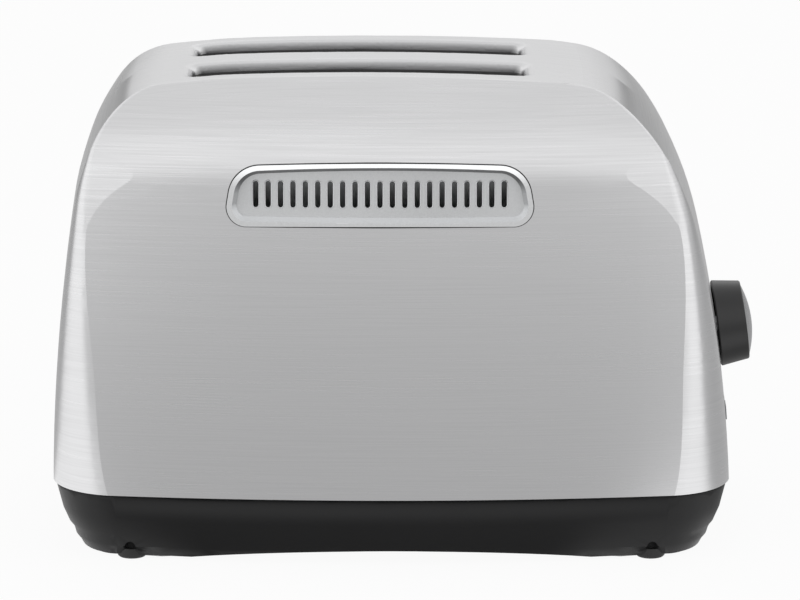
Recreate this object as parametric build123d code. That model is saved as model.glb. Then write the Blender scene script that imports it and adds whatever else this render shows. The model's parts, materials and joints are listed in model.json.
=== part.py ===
from build123d import *
import os
from math import acos, atan2, ceil, cos, degrees, pi, radians, sin, sqrt, tan

# A two-slot toaster, in millimetres. x runs along its length towards the control end, y is its
# width with the vented long side at -y, and z is up from the surface that it stands on.
# While it is built, x = 0 is the middle of the shell's foot. The pieces are written with x = 0 in
# the middle of the whole length, knob included.

# Shell: the sheet metal loaf over everything
shell_length = 285.0
shell_width = 176.0
seam_height = 28.5
crown_height = 198.0
sheet_thickness = 1.2
panel_plan_radius = 886.0
panel_bow_radius = 1065.0
panel_shoulder_radius = 50.0
panel_crest_angle = 22.0
top_half_width = 48.5
crown_place = -14.0
crown_flat = 3.0
crown_radius = 1380.0
end_plan_radius = 900.0
rear_end = {"side": -1, "bow": 825.0, "lean": 1.0, "shoulder": 33.0}
front_end = {"side": 1, "bow": 596.0, "lean": 2.6, "shoulder": 43.0}
corner_radius = 31.0
crease_radius = 2.5
corner_fade_height = 172.0
corner_step = 0.1

# Bread slots in the top, their rims rolled inwards
slots_place = -14.3
slot_pitch = 48.0
slot_margin = 73.0
slot_length = shell_length - 2 * slot_margin
slot_width = 25.0
slot_corner = 4.0
slot_lip = 4.0
slot_depth = 12.0

# Vent in the near side: a bright bezel round a recessed, slotted plate
vent_place = -4.5
vent_height = 154.5
bezel_width = 127.4
bezel_top_width = 119.0
bezel_low = 12.7
bezel_high = 12.9
bezel_arch = 1.2
bezel_low_radius = 8.0
bezel_high_radius = 13.0
bezel_proud = 0.9
bezel_bead = 1.5
bezel_overlap = 1.1
bezel_slant = 2.5
bezel_recess = 4.2
bezel_depth = 5.4
grille_thickness = 0.8
grille_slots = 21
grille_pitch = 5.05
grille_slot_width = 2.3
grille_slot_height = 10.8

# Base: a moulded tub with an arched underside
base_inset = 0.8
base_draft = 14.0
base_bottom = 3.2
base_round = 18.0
base_round_steps = 4
base_wall = 2.5
base_floor = 10.0
base_arch_height = 7.2
base_arch_half = 95.0
locating_rib_height = 5.5
locating_rib_thickness = 1.9
fit_gap = 0.3

foot_place = shell_length / 2 - 35.0
foot_side = shell_width / 2 - 18.0
foot_radius = 6.0
foot_seat = 1.0
foot_plug_radius = 2.5
foot_plug_height = 5.0

gland_place = 47.5 - shell_length / 2
gland_height = 17.5
gland_bore = 3.6
gland_neck = 5.4
gland_flange = 7.5
gland_flange_thickness = 2.0

# Crumb tray, drawn out through the rear end of the base
tray_half_width = 52.0
tray_height = 6.5
tray_sheet = 0.8
tray_reach = 56.0
tray_wall_place = 18.5 - shell_length / 2
tray_front_low = 9.9
tray_front_high = 22.0
tray_clearance = 0.4
tray_lift = 1.6

# Heating chamber
chamber_half = slot_length / 2 + 5.5
bulkhead_sheet = 1.0
bulkhead_half_width = 62.0
bulkhead_foot = 24.0
bulkhead_shoulder = 168.0
bulkhead_top = 186.0
bulkhead_top_half = 48.0
bulkhead_flange = 12.0
rail_inner = 55.0
rail_outer = 59.0
reflector_side = 52.0
reflector_sheet = 0.7
reflector_low = 26.0
reflector_high = 182.0
card_offset = 17.0
card_thickness = 1.0
card_low = 32.0
card_high = 178.0
winding_runs = 12
winding_ribbon = 2.4
winding_thickness = 0.5
winding_margin = 7.0

# Bread guides: wire cages that swing in as the bread goes down
guide_offset = 14.0
guide_pivot_height = 38.0
guide_top = 172.0
guide_pivot_wire = 1.8
guide_wire = 1.5
guide_bars = 6
guide_bar_pitch = 0.32 * chamber_half
running_clearance = 0.05

# Carriage and its drive
lift_travel = 50.0
rack_top = 95.5
rack_bar_thickness = 1.5
rack_bar_width = 3.0
rack_bar_length = 18.0
rack_bars = 9
rack_spine_height = 10.0
rack_spine_thickness = 2.0
spine_slot_width = 4.0
carriage_gap = 2.0
carriage_sheet = 2.0
carriage_half_width = 34.0
carriage_low = 80.0
carriage_high = 104.0
rod_radius = 3.0
rod_place = 12.3
rod_top = 172.0
rod_tab_height = 166.0
bush_radius = 7.0
gear_module = 1.0
gear_teeth = 18
gear_pressure = 20.0
gear_width = 5.6
gear_thinning = 0.12
gear_height = 84.0
gear_line = 24.0
gear_back = 4.0
gear_shaft = 2.0
bracket_sheet = 1.2
gearbox_width = 30.0
gearbox_depth = 14.0
gearbox_place = 14.3
motor_radius = 12.0
motor_length = 20.0

# Control end
control_height = 82.0
knob_radius = 18.35
knob_top_radius = 16.75
knob_length = 12.2
knob_gap = 0.7
knob_dome = 3.0
knob_cap_radius = 15.4
knob_cap_seat = 1.6
knob_wall = 2.2
knob_stem_radius = 5.5
spindle_radius = 3.0
spindle_hole = 4.6
pot_radius = 12.0
pot_thickness = 9.0
board_depth = 22.4
board_thickness = 1.6
board_half_width = 44.0
board_low = -46.0
board_high = 38.0
carrier_back = 6.0
carrier_half_width = 40.0
carrier_low = -42.0
carrier_high = 36.0
post_radius = 3.2
button_row = -32.0
button_pitch = 16.0
button_width = 11.0
button_height = 6.0
button_proud = 0.7
button_gap = 0.25
button_flange = 1.2
button_flange_thickness = 1.5
button_travel = 1.2
button_stem = 13.4
lens_radius = 2.6
lens_row = 29.0
screw_shank = 1.4
screw_head = 2.8
screw_head_height = 1.8

half_length = shell_length / 2
half_width = shell_width / 2
sector = 14.0
above_all = 240.0


def point_at(centre, radius, angle):
    return (centre[0] + radius * cos(radians(angle)), centre[1] + radius * sin(radians(angle)))


def angle_of(start, end):
    return degrees(atan2(end[1] - start[1], end[0] - start[0]))


def circles_meet(first, first_radius, second, second_radius):
    """The lower of the two points where two circles cross, seen along the line between them."""
    dx, dy = second[0] - first[0], second[1] - first[1]
    span = sqrt(dx * dx + dy * dy)
    along = (first_radius**2 - second_radius**2 + span**2) / (2 * span)
    across = -sqrt(first_radius**2 - along**2)
    return (
        first[0] + (along * dx - across * dy) / span,
        first[1] + (along * dy + across * dx) / span,
    )


# The long sides are one profile of two tangent arcs, swept round a distant vertical axis.
shoulder_centre = point_at(
    (top_half_width, crown_height), panel_shoulder_radius, 270 - panel_crest_angle
)
panel_bow_centre = circles_meet(
    shoulder_centre,
    panel_bow_radius - panel_shoulder_radius,
    (half_width, seam_height),
    panel_bow_radius,
)
shoulder_start = angle_of(panel_bow_centre, shoulder_centre)


def panel_reach(height, offset=0.0):
    """Half the width at x = 0, at a height on the long side."""
    wall = panel_bow_radius + offset
    if height <= point_at(panel_bow_centre, wall, shoulder_start)[1]:
        return panel_bow_centre[0] + sqrt(wall**2 - (height - panel_bow_centre[1]) ** 2)
    shoulder = panel_shoulder_radius + offset
    return shoulder_centre[0] + sqrt(shoulder**2 - (height - shoulder_centre[1]) ** 2)


def panel_lean(height):
    return angle_of(panel_bow_centre, (panel_reach(height), height))


def end_bow_centre(end):
    return point_at((half_length, seam_height), end["bow"], 180 + end["lean"])


def end_reach(end, height, offset=0.0):
    """How far an end wall stands from x = 0 at a height, on the middle line."""
    centre = end_bow_centre(end)
    return centre[0] + sqrt((end["bow"] + offset) ** 2 - (height - centre[1]) ** 2)


def end_lean(end, height):
    return angle_of(end_bow_centre(end), (end_reach(end, height), height))


def swept_profile(profile, axis):
    """Turns a flat profile through a sector about a distant vertical axis."""
    face = make_face(Wire(profile)).rotate(axis, -sector)
    return revolve(face, axis, 2 * sector)


def long_side(side, offset, low):
    """The solid inside one long side, out to the offset surface."""

    def spot(point):
        return (0, point[0], point[1])

    wall_end = point_at(panel_bow_centre, panel_bow_radius + offset, shoulder_start)
    middle = (low + wall_end[1]) / 2
    start = (panel_reach(low, offset), low)
    top = point_at(shoulder_centre, panel_shoulder_radius + offset, 90)
    turn = point_at(shoulder_centre, panel_shoulder_radius + offset, (shoulder_start + 90) / 2)
    inner = -1.7 * half_width
    profile = [
        Line(spot((inner, low)), spot(start)),
        ThreePointArc(spot(start), spot((panel_reach(middle, offset), middle)), spot(wall_end)),
        ThreePointArc(spot(wall_end), spot(turn), spot(top)),
        Line(spot(top), spot((inner, top[1]))),
        Line(spot((inner, top[1])), spot((inner, low))),
    ]
    solid = swept_profile(profile, Axis((0, half_width - panel_plan_radius, 0), (0, 0, 1)))
    return solid if side > 0 else mirror(solid, Plane.XZ)


def end_half(end, offset, low):
    """One end wall with its shoulder and its half of the crown, as a solid from the crown's place."""

    def spot(point):
        return (point[0], 0, point[1])

    apex = end["side"] * crown_place
    crown_start = (apex + crown_flat, crown_height + offset)
    crown_centre = (crown_start[0], crown_height - crown_radius)
    crown = crown_radius + offset
    wall_centre = end_bow_centre(end)
    wall = end["bow"] + offset
    shoulder = end["shoulder"] + offset
    centre = circles_meet(crown_centre, crown - shoulder, wall_centre, wall - shoulder)
    wall_angle = angle_of(wall_centre, centre)
    crown_angle = angle_of(crown_centre, centre)
    wall_end = point_at(wall_centre, wall, wall_angle)
    crown_end = point_at(crown_centre, crown, crown_angle)
    middle = (low + wall_end[1]) / 2
    start = (end_reach(end, low, offset), low)
    inner = apex - 2 * shoulder
    profile = [
        Line(spot((inner, low)), spot(start)),
        ThreePointArc(spot(start), spot((end_reach(end, middle, offset), middle)), spot(wall_end)),
        ThreePointArc(
            spot(wall_end),
            spot(point_at(centre, shoulder, (wall_angle + crown_angle) / 2)),
            spot(crown_end),
        ),
        ThreePointArc(
            spot(crown_end), spot(point_at(crown_centre, crown, (crown_angle + 90) / 2)), spot(crown_start)
        ),
        Line(spot(crown_start), spot((inner, crown_start[1]))),
        Line(spot((inner, crown_start[1])), spot((inner, low))),
    ]
    solid = swept_profile(profile, Axis((half_length - end_plan_radius, 0, 0), (0, 0, 1)))
    beyond = Box(
        2 * shell_length, 2 * shell_width, 2 * above_all, align=(Align.MIN, Align.CENTER, Align.CENTER)
    )
    solid = solid & (Pos(apex, 0, above_all / 2) * beyond)
    return solid if end["side"] > 0 else mirror(solid, Plane.YZ)


def corner_arc(end, height, offset, step):
    """Start, middle and end of a vertical corner's arc, for the corner at +x +y of an unturned end."""
    side_radius = panel_plan_radius - half_width + panel_reach(height, offset)
    end_radius = end_plan_radius - half_length + end_reach(end, height, offset)
    share = (height - seam_height) / (corner_fade_height - seam_height)
    radius = corner_radius + (crease_radius - corner_radius) * max(share, 0) + offset
    side_centre = (0, half_width - panel_plan_radius)
    end_centre = (half_length - end_plan_radius, 0)
    centre = circles_meet(side_centre, side_radius - radius, end_centre, end_radius - radius)
    first = angle_of(end_centre, centre)
    last = angle_of(side_centre, centre)
    return [point_at(centre, radius + step, angle) for angle in (first, (first + last) / 2, last)]


def plan_outline(height, offset, step=0.0, bulge=0.0):
    """The body's outline in plan at a height, as a closed wire of eight arcs."""
    front = corner_arc(front_end, height, offset, step)
    rear = corner_arc(rear_end, height, offset, step)
    front_x = end_reach(front_end, height, offset) + bulge
    rear_x = end_reach(rear_end, height, offset) + bulge
    side_y = panel_reach(height, offset) + bulge
    front_far = [(x, y, height) for x, y in front]
    rear_far = [(-x, y, height) for x, y in rear]
    front_near = [(x, -y, height) for x, y in front]
    rear_near = [(-x, -y, height) for x, y in rear]
    return Wire(
        [
            ThreePointArc(*front_far),
            ThreePointArc(front_far[2], (0, side_y, height), rear_far[2]),
            ThreePointArc(*reversed(rear_far)),
            ThreePointArc(rear_far[0], (-rear_x, 0, height), rear_near[0]),
            ThreePointArc(*rear_near),
            ThreePointArc(rear_near[2], (0, -side_y, height), front_near[2]),
            ThreePointArc(*reversed(front_near)),
            ThreePointArc(front_near[0], (front_x, 0, height), front_far[0]),
        ]
    )


def corner_envelope(offset, low):
    """Rounds only the vertical corners: its flats stand clear of the walls."""
    steps = 4
    heights = [low + (corner_fade_height - low) * step / steps for step in range(steps + 1)]
    clear = 3.0
    sections = [plan_outline(height, offset, corner_step, clear) for height in heights]
    above = Box(
        2 * shell_length, 2 * shell_width, above_all, align=(Align.CENTER, Align.CENTER, Align.MIN)
    )
    return Solid.make_loft(sections) + Pos(0, 0, corner_fade_height) * above


def loaf(offset, low):
    """The whole body's form out to an offset surface, from a height up."""
    sides = long_side(1, offset, low) & long_side(-1, offset, low)
    band = end_half(front_end, offset, low) + end_half(rear_end, offset, low)
    solid = sides & band
    creases = [
        edge
        for edge in solid.edges()
        if abs(edge.center().Y) > top_half_width - 2 * crease_radius
        and edge.center().Z > (seam_height + crown_height) / 3
        and (edge.center().Z > bulkhead_top - crease_radius or abs(edge.center().X) > half_length / 2)
    ]
    solid = fillet(creases, crease_radius + offset)
    return solid & corner_envelope(offset, low)


def slotted(solid, offset, low):
    """Cuts the bread slots down to a height and rolls their rims over."""
    for side in (-1, 1):
        opening = RectangleRounded(
            slot_length - 2 * offset, slot_width - 2 * offset, slot_corner - offset
        )
        hole = extrude(Plane.XY.offset(low) * opening, above_all - low)
        solid = solid - Pos(slots_place, side * slot_pitch / 2, 0) * hole
    reach = slot_width / 2 - offset + 0.5
    rims = [
        edge
        for edge in solid.edges()
        if edge.bounding_box().min.Z > low + slot_depth / 2
        and abs(abs(edge.center().Y) - slot_pitch / 2) < reach
        and abs(edge.center().X - slots_place) < slot_length / 2 - offset + 0.5
        and edge.bounding_box().size.Z < slot_depth / 4
    ]
    return fillet(rims, slot_lip + offset)


parts = {}
collar_foot = crown_height - slot_depth
outer_form = loaf(0.0, seam_height)
inner_form = loaf(-sheet_thickness, seam_height - 1)

# The vent's own plane lies against the near side, x along the toaster and y up the side.
vent_plane = Plane(
    origin=(vent_place, -panel_reach(vent_height), vent_height),
    x_dir=(1, 0, 0),
    z_dir=(0, -cos(radians(panel_lean(vent_height))), sin(radians(panel_lean(vent_height)))),
)


def bezel_outline(inset):
    """The vent's outline: a flat foot, an arched top and sides that lean in."""
    low_x = bezel_width / 2
    high_x = bezel_top_width / 2
    high_y = bezel_high - bezel_arch
    outline = [
        Line((-low_x, -bezel_low), (low_x, -bezel_low)),
        Line((low_x, -bezel_low), (high_x, high_y)),
        ThreePointArc((high_x, high_y), (0, bezel_high), (-high_x, high_y)),
        Line((-high_x, high_y), (-low_x, -bezel_low)),
    ]
    face = make_face(Wire(outline))
    low_corners = face.vertices().sort_by(Axis.Y)[:2]
    face = fillet(low_corners, bezel_low_radius)
    high_corners = [v for v in face.vertices() if v.Y > 0]
    face = fillet(high_corners, bezel_high_radius)
    return offset(face, -inset) if inset else face


def vent_prism(inset, low, high):
    return extrude(vent_plane.offset(low) * bezel_outline(inset), high - low)


def vent_core(depth):
    """What lies behind the vent, from a depth: the side's own bend, straight up and down."""
    bend = panel_plan_radius - half_width + panel_reach(vent_height) - depth
    axis_plane = Plane(
        origin=vent_plane.origin - vent_plane.z_dir * (bend + depth) - Vector(vent_place, 0, 0),
        x_dir=(1, 0, 0),
        z_dir=vent_plane.y_dir,
    )
    return extrude(axis_plane * Circle(bend), vent_height / 2, both=True)


vent_reach = 8.0
vent_back = -12.0
window = vent_prism(bezel_overlap, vent_back, vent_reach)
flange = (vent_prism(0, vent_back, vent_reach) & long_side(-1, bezel_proud, seam_height)) - long_side(
    -1, 0.0, seam_height - 1
)
neck = vent_prism(bezel_overlap + fit_gap / 2, vent_back, vent_reach) & long_side(
    -1, bezel_proud, seam_height
)
neck = neck - vent_core(bezel_depth)
mouth_front = vent_plane.offset(bezel_proud) * bezel_outline(bezel_bead)
mouth_back = vent_plane.offset(-bezel_recess - vent_reach / 2) * bezel_outline(bezel_bead + bezel_slant)
mouth = loft([mouth_front.face(), mouth_back.face()], ruled=True)
mouth = mouth + extrude(mouth_front, vent_reach)
parts["vent_bezel"] = (flange + neck) - mouth

plate = vent_prism(bezel_bead + bezel_slant / 2, vent_back, vent_reach)
plate = plate & vent_core(bezel_depth + fit_gap / 3)
plate = plate - vent_core(bezel_depth + fit_gap / 3 + grille_thickness)
grille_slot = SlotOverall(grille_slot_height, grille_slot_width, rotation=90)
for index in range(grille_slots):
    along = (index - (grille_slots - 1) / 2) * grille_pitch
    cut = extrude(vent_plane.offset(vent_back) * (Pos(along, 0) * grille_slot), vent_reach - vent_back)
    plate = plate - cut
parts["vent_grille"] = plate


# The control end's own plane: x towards +y, y up the end wall, z out through it.
control_lean = end_lean(front_end, control_height)
control_plane = Plane(
    origin=(end_reach(front_end, control_height), 0, control_height),
    x_dir=(0, 1, 0),
    z_dir=(cos(radians(control_lean)), 0, sin(radians(control_lean))),
)


def control(depth, sketch, length):
    """Extrudes a sketch outwards from a depth behind the end wall."""
    return extrude(control_plane.offset(-depth) * sketch, length)


def disc(radius, x=0.0, y=0.0):
    return Pos(x, y) * Circle(radius)


def ring(outer, inner, x=0.0, y=0.0):
    return Pos(x, y) * (Circle(outer) - Circle(inner))


def block(x_low, x_high, y_low, y_high, z_low, z_high):
    """A box between two corners."""
    size = Box(
        x_high - x_low, y_high - y_low, z_high - z_low, align=(Align.MIN, Align.MIN, Align.MIN)
    )
    return Pos(x_low, y_low, z_low) * size


def upright(x, y, low, high, radius):
    return extrude(Plane.XY.offset(low) * disc(radius, x, y), high - low)


def rod_along_x(x_low, x_high, y, z, radius):
    plane = Plane(origin=(x_low, y, z), x_dir=(0, 1, 0), z_dir=(1, 0, 0))
    return extrude(plane * Circle(radius), x_high - x_low)


def rod_along_y(y_low, y_high, x, z, radius):
    plane = Plane(origin=(x, y_low, z), x_dir=(-1, 0, 0), z_dir=(0, 1, 0))
    return extrude(plane * Circle(radius), y_high - y_low)


def pan_screw(shank_length):
    """A pan-head screw along z, its head seated at z = 0 and its shank below."""
    shank = Pos(0, 0, -shank_length / 2) * Cylinder(screw_shank, shank_length)
    head = Pos(0, 0, screw_head_height / 2) * Cylinder(screw_head, screw_head_height)
    return shank + head


def together(shapes):
    """Loose solids as one piece."""
    group = shapes[0]
    for shape in shapes[1:]:
        group = group + shape
    return group


button_places = [(index - 1.5) * button_pitch for index in range(4)]
button_names = ["cancel_button", "reheat_button", "defrost_button", "one_side_button"]
through = 12.0

shell = slotted(outer_form, 0.0, collar_foot) - slotted(inner_form, -sheet_thickness, collar_foot)
shell = shell - window
shell = shell - control(through, disc(spindle_hole), 2 * through)
shell = shell - control(through, disc(lens_radius + button_gap, 0, lens_row), 2 * through)
for place in button_places:
    opening = RectangleRounded(button_width + 2 * button_gap, button_height + 2 * button_gap, 1.2)
    shell = shell - control(through, Pos(place, button_row) * opening, 2 * through)
parts["outer_shell"] = shell


# The base is drawn in by a draft below the seam and rounded under.
def base_inset_at(height):
    """How far the base's outside stands in from the shell's outline at a height."""
    slope = tan(radians(base_draft))
    centre_z = base_bottom + base_round
    centre_inset = base_inset + (seam_height - centre_z) * slope + base_round / cos(radians(base_draft))
    drafted = base_inset + (seam_height - height) * slope
    if height >= centre_z - base_round * sin(radians(base_draft)):
        return drafted
    return centre_inset - sqrt(max(0.0, base_round**2 - (centre_z - height) ** 2))


def base_wire(height, inset):
    """The shell's foot outline, drawn in by an inset and set at a height."""
    return plan_outline(seam_height, -inset).moved(Location((0, 0, height - seam_height)))


round_levels = [
    base_bottom + base_round * (1 - cos(radians((90 - base_draft) * step / base_round_steps)))
    for step in range(base_round_steps + 1)
]
base_levels = [*round_levels, seam_height]
base_solid = Solid.make_loft([base_wire(level, base_inset_at(level)) for level in base_levels], True)
arch_rise = base_arch_height - base_bottom
arch_radius = (base_arch_half**2 + arch_rise**2) / (2 * arch_rise)
arch_cut = rod_along_y(-shell_width, shell_width, 0, base_arch_height - arch_radius, arch_radius)
base_form = base_solid
cavity_levels = [base_floor, (base_floor + seam_height) / 2, seam_height + 1]
cavity_wires = [
    base_wire(level, base_inset_at(min(level, seam_height)) + base_wall) for level in cavity_levels
]
cavity = Solid.make_loft(cavity_wires, True)
rib_inset = sheet_thickness + fit_gap
rib_low = seam_height - locating_rib_height / 2
rib_high = seam_height + locating_rib_height
rib = Solid.make_loft([base_wire(rib_low, rib_inset), base_wire(rib_high, rib_inset)], True)
rib_bore_inset = rib_inset + locating_rib_thickness
rib = rib - Solid.make_loft(
    [base_wire(rib_low - 1, rib_bore_inset), base_wire(rib_high + 1, rib_bore_inset)], True
)
base = (base_solid - arch_cut - cavity) + rib

rear_plate = slots_place - chamber_half
front_plate = slots_place + chamber_half
front_face = front_plate + bulkhead_sheet
flange_x = {
    "rear": (rear_plate - bulkhead_flange, rear_plate),
    "front": (front_plate, front_plate + bulkhead_flange),
}
rail_middle = (rail_inner + rail_outer) / 2
flange_screws = [
    (sum(span) / 2, side * rail_middle) for span in flange_x.values() for side in (-1, 1)
]
rail_rear = flange_x["rear"][0] - 2
rail_front = flange_x["front"][1] + 2
rail_foot = base_floor - 1
for side in (-1, 1):
    low, high = sorted((side * rail_inner, side * rail_outer))
    base = base + block(rail_rear, rail_front, low, high, rail_foot, bulkhead_foot)
for x, y in flange_screws:
    base = base + upright(x, y, rail_foot, bulkhead_foot, screw_head)
    base = base - upright(x, y, bulkhead_foot - through, bulkhead_foot + 1, screw_shank + running_clearance)
rod_x = front_face + rod_place
boss_height = 8.0
base = base + upright(rod_x, 0, rail_foot, base_floor + boss_height, 2 * rod_radius)
base = base - upright(rod_x, 0, base_floor, base_floor + boss_height + 1, rod_radius + running_clearance)
runner_places = [-30.0, 30.0]
runner_width = 3.0
for y in runner_places:
    low, high = y - runner_width / 2, y + runner_width / 2
    base = base + block(tray_wall_place, front_plate, low, high, rail_foot, base_floor + tray_lift)

feet_places = [(sx * foot_place, sy * foot_side) for sx in (-1, 1) for sy in (-1, 1)]
foot_top = base_bottom + foot_seat
for x, y in feet_places:
    base = base - upright(x, y, -1, foot_top, foot_radius + fit_gap)
    base = base - upright(x, y, -1, foot_top + foot_plug_height, foot_plug_radius + running_clearance)

tray_opening = tray_reach - tray_half_width + tray_clearance
base = base - block(
    -shell_length,
    tray_wall_place,
    -tray_half_width - tray_clearance,
    tray_half_width + tray_clearance,
    tray_front_low - tray_clearance,
    tray_front_high + tray_clearance,
)
vent_count = 5
vent_pitch = 16.0
vent_long = 60.0
vent_wide = 4.0
for row in (-1, 1):
    for index in range(vent_count):
        x = slots_place + (index - (vent_count - 1) / 2) * vent_pitch
        slot = Pos(x, row * vent_long / 2 * 0.62) * SlotOverall(vent_long / 2, vent_wide, rotation=90)
        base = base - extrude(slot, 2 * base_floor)

gland_wall = (
    panel_reach(seam_height)
    - base_inset_at(gland_height)
    - (panel_plan_radius - sqrt(panel_plan_radius**2 - gland_place**2))
)
gland_inner = gland_wall - base_wall - 1.0
base = base - rod_along_y(gland_inner - 6, shell_width, gland_place, gland_height, gland_neck + fit_gap / 3)
seat = rod_along_y(gland_wall - 0.6, shell_width, gland_place, gland_height, gland_flange + fit_gap)
base = base - seat
seat_inner = rod_along_y(gland_inner - 6, gland_inner, gland_place, gland_height, gland_flange + fit_gap)
base = base - seat_inner
parts["base_housing"] = base

gland = rod_along_y(
    gland_inner - gland_flange_thickness, gland_wall + gland_flange_thickness, gland_place, gland_height, gland_neck
)
gland = gland + rod_along_y(
    gland_inner - gland_flange_thickness, gland_inner, gland_place, gland_height, gland_flange
)
gland = gland + rod_along_y(
    gland_wall - 0.6, gland_wall + gland_flange_thickness, gland_place, gland_height, gland_flange
)
gland = gland - rod_along_y(
    gland_inner - through, gland_wall + through, gland_place, gland_height, gland_bore
)
parts["cord_gland"] = gland
gland_middle = (gland_inner + gland_wall) / 2
gland_length = gland_wall - gland_inner + 2 * gland_flange_thickness

foot = Pos(0, 0, foot_top / 2) * Cylinder(foot_radius, foot_top)
foot = chamfer(foot.edges().group_by(Axis.Z)[0], 0.5)
foot = foot + Pos(0, 0, foot_top + foot_plug_height / 2 - 0.5) * Cylinder(
    foot_plug_radius, foot_plug_height - 1
)
parts["rubber_feet"] = together([Pos(x, y, 0) * foot for x, y in feet_places])


# Crumb tray: a pan on two runners, and a moulded front that closes the base's rear opening.
tray_low = base_floor + tray_lift + fit_gap
pan_front = front_plate - 2
pan = block(tray_wall_place, pan_front, -tray_half_width, tray_half_width, tray_low, tray_low + tray_height)
pan = pan - block(
    tray_wall_place + tray_sheet,
    pan_front - tray_sheet,
    -tray_half_width + tray_sheet,
    tray_half_width - tray_sheet,
    tray_low + tray_sheet,
    tray_low + tray_height + 1,
)
parts["crumb_tray"] = pan
tray_block = block(
    -shell_length, tray_wall_place, -tray_half_width, tray_half_width, tray_front_low, tray_front_high
)
tray_front = tray_block & base_form
grip_radius = 9.0
grip_half_width = 24.0
grip = rod_along_y(-grip_half_width, grip_half_width, 0, 0, grip_radius)
tray_nose = -half_length + base_inset_at(tray_front_low)
grip = Pos(tray_nose + 3, 0, tray_front_low - 4) * grip
parts["tray_front"] = tray_front - grip

# Bulkheads: folded sheet plates that close the chamber's ends and carry everything in it.
guide_places = {
    "near_outer": (-slot_pitch / 2 - guide_offset, -1),
    "near_inner": (-slot_pitch / 2 + guide_offset, 1),
    "far_inner": (slot_pitch / 2 - guide_offset, -1),
    "far_outer": (slot_pitch / 2 + guide_offset, 1),
}
spine_low = rack_top - rack_bar_thickness - rack_spine_height
spine_high = rack_top - rack_bar_thickness
arm_slot_low = spine_low - lift_travel - 2
arm_slot_high = spine_high + 2


def bulkhead(x_low):
    x_high = x_low + bulkhead_sheet
    narrow = bulkhead_top - bulkhead_shoulder
    outline = Polyline(
        (-bulkhead_half_width, bulkhead_foot),
        (bulkhead_half_width, bulkhead_foot),
        (bulkhead_half_width, bulkhead_shoulder),
        (bulkhead_top_half, bulkhead_shoulder + narrow),
        (-bulkhead_top_half, bulkhead_shoulder + narrow),
        (-bulkhead_half_width, bulkhead_shoulder),
        close=True,
    )
    plane = Plane(origin=(x_low, 0, 0), x_dir=(0, 1, 0), z_dir=(1, 0, 0))
    plate = extrude(plane * make_face(outline), x_high - x_low)
    for side in (-1, 1):
        y = side * slot_pitch / 2
        plate = plate - block(
            x_low - 1, x_high + 1, y - spine_slot_width / 2, y + spine_slot_width / 2, arm_slot_low, arm_slot_high
        )
    for y, _ in guide_places.values():
        plate = plate - rod_along_x(
            x_low - 1, x_high + 1, y, guide_pivot_height, guide_pivot_wire / 2 + running_clearance
        )
    return plate


def foot_flanges(x_span):
    flanges = []
    for side in (-1, 1):
        low, high = sorted((side * (rail_inner - 2), side * bulkhead_half_width))
        flanges.append(block(*x_span, low, high, bulkhead_foot, bulkhead_foot + bulkhead_sheet))
    return flanges


def with_screw_holes(plate):
    for x, y in flange_screws:
        plate = plate - upright(x, y, bulkhead_foot - 1, bulkhead_foot + 3, screw_shank + 0.1)
    return plate


rear = bulkhead(rear_plate - bulkhead_sheet)
for flange_part in foot_flanges(flange_x["rear"]):
    rear = rear + flange_part
parts["rear_bulkhead"] = with_screw_holes(rear)

front = bulkhead(front_plate)
for flange_part in foot_flanges(flange_x["front"]):
    front = front + flange_part
tab_half_width = 8.0
tab_reach = rod_x + 2 * rod_radius + 2
front = front + block(
    front_plate, tab_reach, -tab_half_width, tab_half_width, rod_tab_height, rod_tab_height + bulkhead_sheet
)
front = front - upright(
    rod_x, 0, rod_tab_height - 1, rod_tab_height + 3, rod_radius + running_clearance
)
parts["front_bulkhead"] = with_screw_holes(front)
parts["guide_rod"] = upright(rod_x, 0, base_floor, rod_top, rod_radius)

for name, side in (("near_reflector", -1), ("far_reflector", 1)):
    low, high = sorted((side * reflector_side, side * (reflector_side + reflector_sheet)))
    parts[name] = block(rear_plate, front_plate, low, high, reflector_low, reflector_high)


def winding_shape():
    """A flat ribbon that runs to and fro across a card, in the card's own x and z."""
    left = rear_plate + winding_margin
    right = front_plate - winding_margin
    low = card_low + winding_margin
    pitch = (card_high - card_low - 2 * winding_margin - winding_ribbon) / (winding_runs - 1)
    shape = None
    for run in range(winding_runs):
        z = low + run * pitch
        strip = Pos((left + right) / 2, z + winding_ribbon / 2) * Rectangle(right - left, winding_ribbon)
        shape = strip if shape is None else shape + strip
        if run < winding_runs - 1:
            x = right - winding_ribbon / 2 if run % 2 == 0 else left + winding_ribbon / 2
            link = Pos(x, z + (pitch + winding_ribbon) / 2) * Rectangle(winding_ribbon, pitch + winding_ribbon)
            shape = shape + link
    return shape


serpentine = winding_shape()
card_places = {
    "near_outer": (-slot_pitch / 2 - card_offset, -1),
    "near_inner": (-slot_pitch / 2 + card_offset, 1),
    "far_inner": (slot_pitch / 2 - card_offset, -1),
    "far_outer": (slot_pitch / 2 + card_offset, 1),
}
for name, (face_y, away) in card_places.items():
    low, high = sorted((face_y, face_y + away * card_thickness))
    parts[f"{name}_card"] = block(rear_plate, front_plate, low, high, card_low, card_high)
    low = min(face_y, face_y - away * winding_thickness)
    plane = Plane(origin=(0, low + winding_thickness, 0), x_dir=(1, 0, 0), z_dir=(0, -1, 0))
    parts[f"{name}_winding"] = extrude(plane * serpentine, winding_thickness)


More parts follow.
